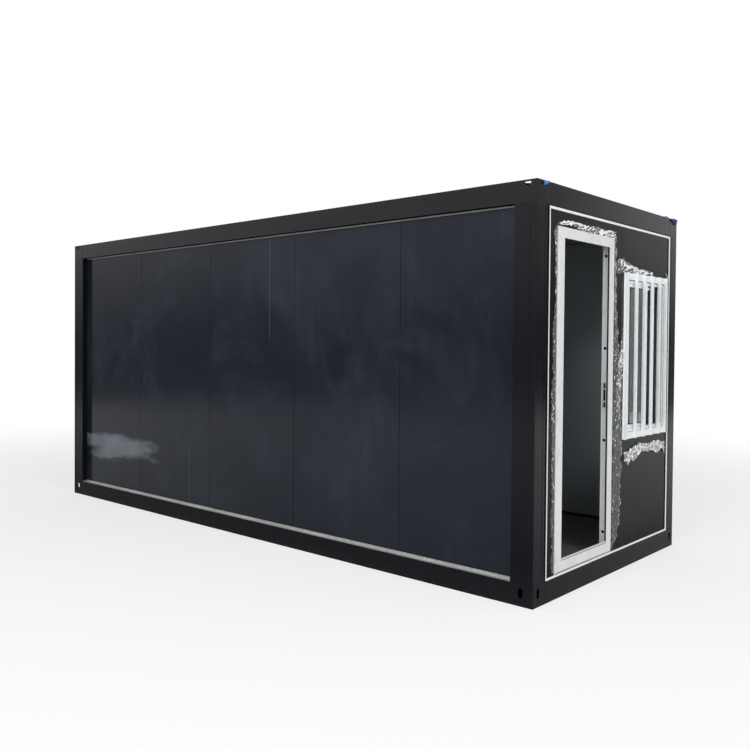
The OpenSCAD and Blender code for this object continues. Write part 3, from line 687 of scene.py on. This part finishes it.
# a dark bar on the lip paints the shade line at the foot of the sill
bar(bm, (sill_low.x, sill_high.x), [LIP_FACE + y for y in LIP_SHADE_LINE_Y],
    [SILL_FOOT + z for z in LIP_SHADE_LINE_Z])
keep_piece(bm, "sill_cord_and_shade_line", rubber)

face_left, face_right = sill_low.x + LIP_W, sill_high.x - LIP_W
bm = bmesh.new()
for x, z in (((face_left, seal_low.x), upper), ((seal_high.x, face_right), upper),
             ((face_left, face_right), lower)):
    bar(bm, x, (sill_low.y + FILLER_BACK, LIP_FACE), z)
keep_piece(bm, "sill_groove_fillers", powder_white)

# %% [markdown]
# ## Plugs in the jamb and a catch on the sash
#
# The rebate of the right jamb has four round holes and a lock plate with three slots. Each
# is closed a little way in by a black plug: a cone with equal ends for the round holes,
# and a block for the slots, rounded along the edges that run into the jamb. The open edge
# of the sliding sash carries a small white catch, which is two bevelled blocks.

# %% Plugs in the jamb
HOLES, HOLE_R, HOLE_IN = 4, 12 * MM, 62 * MM  # the end holes lie this far in from sill and head
SLOT_W, SLOT_R = 16 * MM, 7.7 * MM
SLOTS = ((-0.38, 0.21), (0.0, 0.44), (0.38, 0.21))  # middle and length, shares of the plate
PLUG_T, PLUG_CLEAR, SUNK = 8 * MM, 0.2 * MM, 1.5 * MM
keep_low, keep_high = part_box("lock_keep")
keep_mid, keep_tall = (keep_low + keep_high) / 2, keep_high.z - keep_low.z
plug_x = keep_high.x + SUNK + PLUG_T / 2      # the plate's back lies on the rebate


def rounded_block(bm, size, middle, radius, along_x_only=False):
    made = bmesh.ops.create_cube(bm, size=1.0)["verts"]
    for v in made:
        v.co = Vector(v.co[i] * size[i] + middle[i] for i in range(3))
    edges = {e for v in made for e in v.link_edges}
    if along_x_only:
        edges = {e for e in edges if abs(e.verts[0].co.x - e.verts[1].co.x) > 1e-6}
    bmesh.ops.bevel(bm, geom=list(edges), offset=radius, affect="EDGES", segments=3,
                    profile=0.5, material=-1)


bm = bmesh.new()
pitch = (seal_high.z - seal_low.z - 2 * HOLE_IN) / (HOLES - 1)
for i in range(HOLES):
    z = seal_low.z + HOLE_IN + i * pitch
    plug = bmesh.ops.create_cone(bm, cap_ends=True, segments=32, radius1=HOLE_R - PLUG_CLEAR,
                                 radius2=HOLE_R - PLUG_CLEAR, depth=PLUG_T)["verts"]
    for v in plug:
        v.co = Vector((plug_x + v.co.z, keep_mid.y + v.co.x, z + v.co.y))
for place, tall in SLOTS:
    rounded_block(bm, (PLUG_T, SLOT_W - 2 * PLUG_CLEAR, tall * keep_tall - 2 * PLUG_CLEAR),
                  (plug_x, keep_mid.y, keep_mid.z + place * keep_tall), SLOT_R,
                  along_x_only=True)
bmesh.ops.recalc_face_normals(bm, faces=bm.faces)
keep_piece(bm, "jamb_plugs", rubber)

# %% Catch on the sash
CATCH_AT = Vector((sash_high.x, sash_low.y, 2.186))
# Each block in millimetres: its size, its middle from CATCH_AT, its edge radius
PLATE = (26, 6, 44), (-16, -3, 0), 2
LEVER = (34, 7, 13), (4, -6.5, -6), 3
bm = bmesh.new()
for size, off, radius in (PLATE, LEVER):
    rounded_block(bm, Vector(size) * MM, CATCH_AT + Vector(off) * MM, radius * MM)
keep_piece(bm, "sash_catch", pvc_white)

# %% [markdown]
# ## Torn protective film
#
# The door frame and the window came wrapped in clear polyethylene film. It was torn off,
# and a ragged strip is still caught round their edges. Crumpled film breaks into small
# facets: most let the wall show through, and some are painted white and nearly opaque as
# the highlights they would catch. The creases between them are thin milky lines. A Voronoi
# pattern in the strip's own flat coordinates gives the facets, drawn out along the strip.
# Two attributes of the mesh steer it: dense says how many facets get a painted highlight,
# and hem is raised along a torn edge, where the film rolls up and whitens and more facets
# get one.

# %% Polyethylene film
def film_finish(name, tint, haze, full, facet_mm, drawn_out, turn, crease, share):
    finish, tree = new_finish(name)
    flat = add(tree, "UVMap", uv_map="flat")
    # Noise of about 25 mm bends the facets out of true by up to 8 mm
    sway = add(tree, "TexNoise",
               {"Vector": flat, "Scale": per_metre(25), "Detail": 3.0}, out="Color")
    bent = add(tree, "VectorMath", {0: sway, 1: (16 * MM, 16 * MM, 0.0), 2: flat},
               operation="MULTIPLY_ADD")
    pulled = add(tree, "Mapping",
                 {"Vector": bent, "Rotation": (0.0, 0.0, math.radians(turn)),
                  "Scale": (drawn_out, 1.0, 1.0)}, vector_type="TEXTURE")
    facet = add(tree, "TexVoronoi",
                {"Vector": pulled, "Scale": per_metre(facet_mm)}, out="Color")
    chance = add(tree, "SeparateXYZ", {"Vector": facet})
    edge = add(tree, "TexVoronoi", {"Vector": pulled, "Scale": per_metre(facet_mm)},
               feature="DISTANCE_TO_EDGE")
    dense = add(tree, "Attribute", attribute_name="dense", out="Fac")
    hem = add(tree, "Attribute", attribute_name="hem", out="Fac")
    lit_share = add(tree, "Math", {0: dense, 1: hem}, operation="MAXIMUM")
    least = add(tree, "Math", {0: lit_share, 1: -share, 2: 1.0}, operation="MULTIPLY_ADD")
    # facets over the threshold get a painted highlight: white and nearly opaque
    painted_glint = add(tree, "Math", {0: chance, 1: least}, operation="GREATER_THAN")
    line = add(tree, "MapRange",
               {"Value": edge, "From Min": crease, "From Max": 0.3 * crease, "To Max": 0.7})
    creased = add(tree, "Math", {0: line, 1: lit_share}, operation="MULTIPLY")
    white = add(tree, "Math", {0: creased, 1: painted_glint}, operation="MAXIMUM")
    cover = add(tree, "MapRange", {"Value": white, "To Min": haze, "To Max": full})
    shader = add(tree, "BsdfPrincipled",
                 {"Base Color": hex_colour(tint), "Roughness": 0.25, "IOR": 1.51,
                  "Specular IOR Level": 0.3, "Alpha": cover})
    add(tree, "OutputMaterial", {"Surface": shader})
    return finish


MILKY, CLEAR = "#eef0f2", "#e4e7ec"
crumpled_film = film_finish("crumpled_polyethylene_film", MILKY, haze=0.05, full=0.95,
                            facet_mm=12, drawn_out=5.0, turn=14, crease=0.08, share=0.5)
matted_film = film_finish("matted_polyethylene_film", MILKY, haze=0.16, full=0.95,
                          facet_mm=9, drawn_out=2.4, turn=50, crease=0.10, share=0.5)
specked_film = film_finish("specked_polyethylene_film", MILKY, haze=0.03, full=0.95,
                           facet_mm=8, drawn_out=1.6, turn=40, crease=0.04, share=0.4)
clear_film = film_finish("clear_polyethylene_film", CLEAR, haze=0.05, full=0.75,
                         facet_mm=4, drawn_out=4.0, turn=3, crease=0.03, share=0.17)
print("four kinds of clear film")

# %% [markdown]
# ### Laying a strip
#
# A strip is a grid whose two long edges follow a ladder of rungs: each rung gives a point
# on one edge, the point across from it and how creased the film is there. Noise then pulls
# the edges about and lifts the sheet off the wall in ridges. A Solidify modifier gives it a
# little thickness.

# %% Lay a strip
FILM_STEP, FILM_T = 9 * MM, 0.2 * MM
TEAR_LEN, TEAR = 45 * MM, 0.22                # tears along the edges, as a share of the width
RIDGE_LEN, FOLD_LEN = 50 * MM, 21 * MM        # ridges off the wall, and smaller folds on them
CREEP_LEN, CREEP = 30 * MM, 5 * MM            # how far the film is pulled about on the wall


def ladder(rungs):
    near = [Vector((a[0], 0.0, a[1])) for a, b, creased in rungs]
    far = [Vector((b[0], 0.0, b[1])) for a, b, creased in rungs]
    run = [0.0]
    for i in range(1, len(rungs)):
        step = (near[i] + far[i] - near[i - 1] - far[i - 1]).length / 2
        run.append(run[-1] + step)
    width = sum((b - a).length for a, b in zip(near, far)) / len(rungs)
    return near, far, run, width


def crumple(p, lie, lift, shift):
    ridge = abs(noise.noise(p / RIDGE_LEN + shift))
    fold = abs(noise.noise(p / FOLD_LEN - shift))
    p += CREEP * noise.noise_vector(p / CREEP_LEN + shift)
    p.y = WALL_FACE - lie - lift * min(1.0, 1.5 * (ridge + 0.6 * fold))
    return p


def film_strip(name, rungs, lift, seed, finish, lie=2 * MM, hems=(0.0, 0.8)):
    near, far, run, width = ladder(rungs)
    bm = bmesh.new()
    bmesh.ops.create_grid(bm, x_segments=max(6, round(run[-1] / FILM_STEP)),
                          y_segments=max(5, round(width / FILM_STEP)), size=0.5)
    hem = bm.verts.layers.float.new("hem")
    dense = bm.verts.layers.float.new("dense")
    flat = {}
    # Each seed takes the noise to a place of its own
    shift = Vector((7.31 * seed, 3.17 * seed, 1.93 * seed))
    for v in bm.verts:
        s, t = (v.co.x + 0.5) * run[-1], v.co.y + 0.5
        flat[v] = (s + 3.7 * seed, t * width)
        v[hem] = hems[1] if t > 0.99 else hems[0] if t < 0.01 else 0.0
        i = max(k for k in range(len(run) - 1) if run[k] <= s + 1e-9)
        share = (s - run[i]) / (run[i + 1] - run[i])
        # the rung's third value also sets how many facets get a painted highlight
        v[dense] = rungs[i][2] + share * (rungs[i + 1][2] - rungs[i][2])
        a, b = near[i].lerp(near[i + 1], share), far[i].lerp(far[i + 1], share)
        torn = noise.noise(Vector((s / TEAR_LEN, 5.0 * round(t), 0.0)) + shift)
        t += TEAR * torn * (2 * t - 1) * abs(2 * t - 1)
        v.co = crumple(a.lerp(b, t), lie, lift, shift)
    uv = bm.loops.layers.uv.new("flat")
    for face in bm.faces:
        face.normal_update()
        for corner in face.loops:
            corner[uv].uv = flat[corner.vert]
    if sum(f.normal.y for f in bm.faces) > 0:
        bmesh.ops.reverse_faces(bm, faces=bm.faces)
    bmesh.ops.triangulate(bm, faces=bm.faces)
    area = sum(f.calc_area() for f in bm.faces)
    piece = keep_piece(bm, name, finish)
    solid = piece.modifiers.new("film_thickness", "SOLIDIFY")
    solid.thickness = FILM_T
    solid.offset = 0.0


# %% [markdown]
# ### The strips
#
# Over the door the film is bunched and mostly white. On both sides of the door and on the
# right of the window it hangs smooth and clear, with a white hem. Below the window it is
# matted. Rungs are given on the plane of the end wall: across, then up.

# %% Film round the door
CAUGHT_LEFT, CAUGHT_RIGHT = -0.924, -0.039    # where the film is caught by the door frame
film_strip("film_over_door",
           [((-0.917, 2.528), (-0.925, 2.542), 0.6), ((-0.80, 2.541), (-0.828, 2.568), 0.9),
            ((-0.70, 2.546), (-0.697, 2.576), 0.9), ((-0.60, 2.526), (-0.600, 2.570), 0.5),
            ((-0.50, 2.522), (-0.50, 2.570), 0.5), ((-0.32, 2.522), (-0.324, 2.575), 0.6),
            ((-0.16, 2.522), (-0.158, 2.571), 0.8),
            ((CAUGHT_RIGHT, 2.522), (-0.022, 2.578), 0.6)],
           lift=13 * MM, seed=1,
           finish=crumpled_film, hems=(0.0, 0.9))
film_strip("film_left_of_door",
           [((CAUGHT_LEFT, z), far, creased) for z, far, creased in (
               (2.535, (-0.945, 2.535), 0.3), (2.45, (-0.985, 2.447), 1.2),
               (2.39, (-0.960, 2.39), 1.4), (2.16, (-0.951, 2.16), 1.0),
               (2.02, (-0.955, 2.02), 0.5), (1.82, (-0.980, 1.824), 0.3),
               (1.36, (-0.985, 1.358), 0.3), (0.89, (-0.976, 0.889), 0.25),
               (0.49, (-0.975, 0.487), 0.25), (0.19, (-0.965, 0.19), 0.25))],
           lift=12 * MM, seed=2,
           finish=clear_film, hems=(0.2, 0.45))
film_strip("film_right_of_door",
           [((CAUGHT_RIGHT, z), far, creased) for z, far, creased in (
               (2.56, (-0.024, 2.561), 0.9), (2.35, (-0.008, 2.353), 0.8),
               (2.07, (-0.005, 2.066), 0.8), (1.84, (0.040, 1.84), 0.4),
               (1.30, (0.111, 1.306), 0.3), (1.00, (0.121, 0.999), 0.2),
               (0.54, (0.112, 0.538), 0.2), (0.38, (0.095, 0.380), 0.2),
               (0.27, (0.050, 0.269), 0.3), (0.185, (-0.030, 0.18), 0.4))],
           lift=12 * MM, seed=3,
           finish=clear_film, hems=(0.0, 1.8))

# %% Film round the window
film_strip("film_over_window",
           [((0.010, 2.254), (0.005, 2.359), 0.25), ((0.133, 2.280), (0.093, 2.381), 0.4),
            ((0.20, 2.287), (0.203, 2.367), 0.7), ((0.281, 2.287), (0.317, 2.337), 1.0),
            ((0.434, 2.287), (0.433, 2.325), 1.0), ((0.634, 2.287), (0.592, 2.329), 0.9),
            ((0.690, 2.287), (0.680, 2.318), 0.8)],
           lift=13 * MM, seed=4,
           finish=crumpled_film, hems=(0.8, 1.2))
film_strip("film_left_of_window",
           [((0.147, 1.90), (0.130, 1.90), 0.0), ((0.147, 1.81), (0.110, 1.81), 0.3),
            ((0.140, 1.70), (0.085, 1.71), 0.9), ((0.140, 1.58), (0.065, 1.60), 1.4),
            ((0.120, 1.52), (0.045, 1.53), 0.7), ((0.095, 1.38), (0.020, 1.38), 0.5),
            ((0.090, 1.20), (0.030, 1.20), 0.3)],
           lift=13 * MM, seed=5,
           finish=specked_film, hems=(0.0, 0.3))
film_strip("film_right_of_window",
           [((0.985, 2.290), (0.948, 2.341), 1.2), ((1.018, 2.270), (1.035, 2.304), 0.7),
            ((1.018, 2.111), (1.045, 2.111), 0.2), ((1.018, 1.687), (1.050, 1.687), 0.2),
            ((1.018, 1.262), (1.045, 1.262), 0.4), ((1.012, 0.980), (1.050, 0.938), 1.2)],
           lie=5.5 * MM, lift=5 * MM, seed=6,
           finish=clear_film)
film_strip("film_below_window",
           [((0.181, 0.831), (0.161, 0.903), 0.6), ((0.257, 0.796), (0.260, 0.912), 0.6),
            ((0.369, 0.836), (0.350, 0.928), 0.6), ((0.504, 0.879), (0.443, 0.940), 0.6),
            ((0.625, 0.868), (0.643, 0.931), 0.6), ((0.706, 0.872), (0.720, 0.934), 0.7),
            ((0.812, 0.842), (0.788, 0.936), 0.7), ((0.940, 0.864), (0.920, 0.930), 0.7),
            ((0.985, 0.826), (0.985, 0.925), 0.7)],
           lift=14 * MM, seed=7,
           finish=matted_film, hems=(0.8, 0.8))

# %% [markdown]
# ### Blue film
#
# The top corners were wrapped in blue film. Three scraps of it are left along the upper
# edge, bright where they are single and navy where they are folded over.

# %% Blue film left at the top corners
FOLDED = {"haze": 0.8, "full": 0.95, "facet_mm": 30, "drawn_out": 2.0, "turn": 0,
          "crease": 0.05, "share": 0.5}
blue_film = film_finish("blue_polyethylene_film", "#2f7de0", **FOLDED)
navy_film = film_finish("folded_blue_polyethylene_film", "#0b2763", **FOLDED)
film_strip("blue_film_left",
           [((-1.125, 2.764), (-1.132, 2.786), 1.0), ((-1.105, 2.767), (-1.108, 2.794), 1.0),
            ((-1.080, 2.776), (-1.085, 2.800), 1.0), ((-1.050, 2.790), (-1.048, 2.803), 1.0)],
           lie=4 * MM, lift=10 * MM, seed=8,
           finish=blue_film)
film_strip("blue_film_on_beam",
           [((0.912, 2.793), (0.910, 2.801), 1.0), ((0.945, 2.793), (0.945, 2.806), 1.0),
            ((0.985, 2.794), (0.985, 2.807), 1.0), ((1.017, 2.795), (1.018, 2.803), 1.0)],
           lie=4 * MM, lift=6 * MM, seed=10, finish=blue_film)
film_strip("blue_film_right",
           [((1.065, 2.785), (1.050, 2.803), 1.0), ((1.105, 2.768), (1.10, 2.804), 1.0),
            ((1.150, 2.757), (1.155, 2.804), 1.0), ((1.190, 2.768), (1.196, 2.802), 1.0)],
           lie=4 * MM, lift=10 * MM, seed=9, finish=navy_film)

# %% [markdown]
# ## The studio
#
# A pale floor carries the shadow and fades to white with distance. Dark gloss shows what
# stands round it, so a tall curtain, far off and seen only in reflections, gives the
# enamel a dim horizon with brighter light above, as open ground does. It is on no light
# path that lights the house.

# %% Floor
FLOOR_HALF = 80.0


def seen_rays(tree):
    # 1 for rays that show a surface to the eye, straight, mirrored or through glass
    rays = add(tree, "LightPath").node.outputs
    seen = rays["Is Camera Ray"]
    for kind in ("Is Glossy Ray", "Is Transmission Ray"):
        seen = add(tree, "Math", {0: seen, 1: rays[kind]}, operation="MAXIMUM")
    return seen


pale, tree = new_finish("pale_studio_floor")
where = add(tree, "TexCoord", out="Object")
distance = add(tree, "VectorMath", {0: where}, operation="LENGTH")
far = add(tree, "MapRange",
          {"Value": distance, "From Min": 4.0, "From Max": 11.0, "To Min": 0.6},
          interpolation_type="SMOOTHSTEP")
share = add(tree, "Math", {0: far, 1: seen_rays(tree)}, operation="MULTIPLY")
matt = add(tree, "BsdfDiffuse", {"Color": hex_colour("#f2f2f0")})
white = add(tree, "Emission", {"Strength": 1.0})
both = add(tree, "MixShader", {0: share, 1: matt, 2: white})
add(tree, "OutputMaterial", {"Surface": both})

bm = bmesh.new()
bmesh.ops.create_grid(bm, x_segments=2, y_segments=2, size=FLOOR_HALF)
floor = as_object(bm, "studio_floor", pale)
print("floor", 2 * FLOOR_HALF, "m across")

# %% Curtain for the reflections
CURTAIN_R, CURTAIN_H = 17.0, 8.0
cloth, tree = new_finish("studio_curtain_cloth")
where = add(tree, "TexCoord", out="Object")
axes = add(tree, "SeparateXYZ", {"Vector": where}).node.outputs
level = add(tree, "MapRange",
            {"Value": axes["Z"], "From Min": 1.5, "From Max": 5.0, "To Min": 0.22},
            interpolation_type="SMOOTHSTEP")
# One bay hangs darker, to the right of the door end, so that the end wall's gloss has a turn
turn = add(tree, "Math", {0: axes["Y"], 1: axes["X"]}, operation="ARCTAN2")
bay = add(tree, "MapRange",
          {"Value": turn, "From Min": math.radians(-40), "From Max": math.radians(-27),
           "To Min": 0.22, "To Max": 0.88})
dimmed = add(tree, "Math", {0: level, 1: bay}, operation="MULTIPLY")
glow = add(tree, "Emission", {"Strength": dimmed})
add(tree, "OutputMaterial", {"Surface": glow})

bm = bmesh.new()
bmesh.ops.create_circle(bm, segments=96, radius=CURTAIN_R)
raised = bmesh.ops.extrude_edge_only(bm, edges=list(bm.edges))
tops = [g for g in raised["geom"] if isinstance(g, bmesh.types.BMVert)]
bmesh.ops.translate(bm, verts=tops, vec=(0.0, 0.0, CURTAIN_H))
curtain = as_object(bm, "studio_curtain", cloth)
for ray in ("camera", "diffuse", "transmission", "shadow", "volume_scatter"):
    setattr(curtain, f"visible_{ray}", False)
print("curtain", CURTAIN_R, "m off")

# %% [markdown]
# ## Light
#
# The world is an even white that lights from all sides. Two large soft lamps add direction:
# the key stands in front of the door end, to its left, and the other faces the long wall, so
# both sides of the near corner are lit, the end a little more. Rays that show the world to
# the eye see it at strength 1, which is white.

# %% World and lamps
world = bpy.data.worlds.new("studio_air")
scene.world = world
world.use_nodes = True
tree = world.node_tree
tree.nodes.clear()
strength = add(tree, "MapRange", {"Value": seen_rays(tree), "To Min": 0.58})
air = add(tree, "Background", {"Color": (1.0, 1.0, 1.0, 1.0), "Strength": strength})
add(tree, "OutputWorld", {"Surface": air})


def soft_lamp(name, place, aim, size, power):
    data = bpy.data.lights.new(name, "AREA")
    data.shape = "DISK"
    data.size = size
    data.energy = power
    lamp = bpy.data.objects.new(name, data)
    lamp.location = place
    lamp.rotation_euler = (Vector(aim) - Vector(place)).to_track_quat("-Z", "Y").to_euler()
    scene.collection.objects.link(lamp)
    print(name, power, "W")


soft_lamp("key_lamp", (-3.5, -11.0, 8.0), aim=(0.0, -2.5, 1.2), size=5.0, power=400.0)
soft_lamp("side_lamp", (-11.0, -4.0, 7.0), aim=(-1.0, -1.0, 1.2), size=5.0, power=560.0)
scene.view_settings.view_transform = "Standard"
